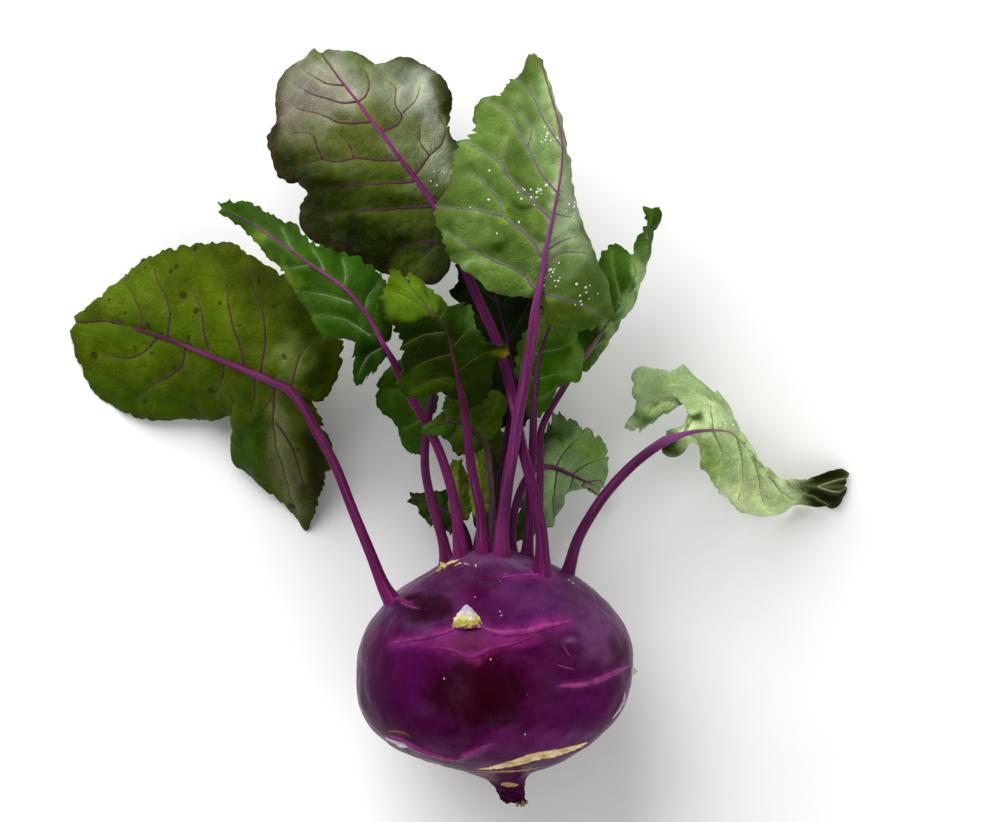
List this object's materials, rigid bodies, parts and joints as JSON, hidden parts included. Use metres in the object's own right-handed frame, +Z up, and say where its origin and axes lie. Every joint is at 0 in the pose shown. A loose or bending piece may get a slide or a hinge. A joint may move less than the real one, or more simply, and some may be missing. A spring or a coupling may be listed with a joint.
{
  "type": "kohlrabi",
  "caption": "Purple kohlrabi lying on its side: a round scarred bulb with a short cut root stub, and long-stalked green leaves fanning out from its crown.",
  "frame": {"origin": "middle of the flat spot that the bulb rests on, at the level of the surface", "axes": "+Z up from the surface, +Y from the root stub to the leaves, +X to the right as seen from the root stub"},
  "size_m": [0.2545, 0.2451, 0.1041],
  "materials": {
    "bulb_skin": "gloss",
    "stalk": "satin",
    "leaf_olive": "satin",
    "leaf_waxy": "satin",
    "leaf_deep": "satin",
    "leaf_pale": "satin",
    "leaf_young": "satin"
  },
  "bodies": {
    "root": {"bulb": "bulb_skin", "stalk_left": "stalk", "blade_left": "leaf_olive", "stalk_top_left": "stalk", "blade_top_left": "leaf_waxy", "stalk_top_middle": "stalk", "blade_top_middle": "leaf_waxy", "stalk_mid_left": "stalk", "blade_mid_left": "leaf_deep", "stalk_middle": "stalk", "blade_middle": "leaf_olive", "stalk_back_middle": "stalk", "blade_back_middle": "leaf_deep", "stalk_right_cupped": "stalk", "blade_right_cupped": "leaf_deep", "stalk_low_right": "stalk", "blade_low_right": "leaf_waxy", "stalk_low_left": "stalk", "blade_low_left": "leaf_deep", "stalk_back_left": "stalk", "blade_back_left": "leaf_deep", "stalk_right_folded": "stalk", "blade_right_folded": "leaf_deep", "stalk_drooping": "stalk", "blade_drooping": "leaf_pale", "stalk_young_front": "stalk", "blade_young_front": "leaf_young", "stalk_heart_front": "stalk", "blade_heart_front": "leaf_young", "stalk_heart_back": "stalk", "blade_heart_back": "leaf_deep", "stalk_heart_side": "stalk", "blade_heart_side": "leaf_young"}
  },
  "joints": []
}
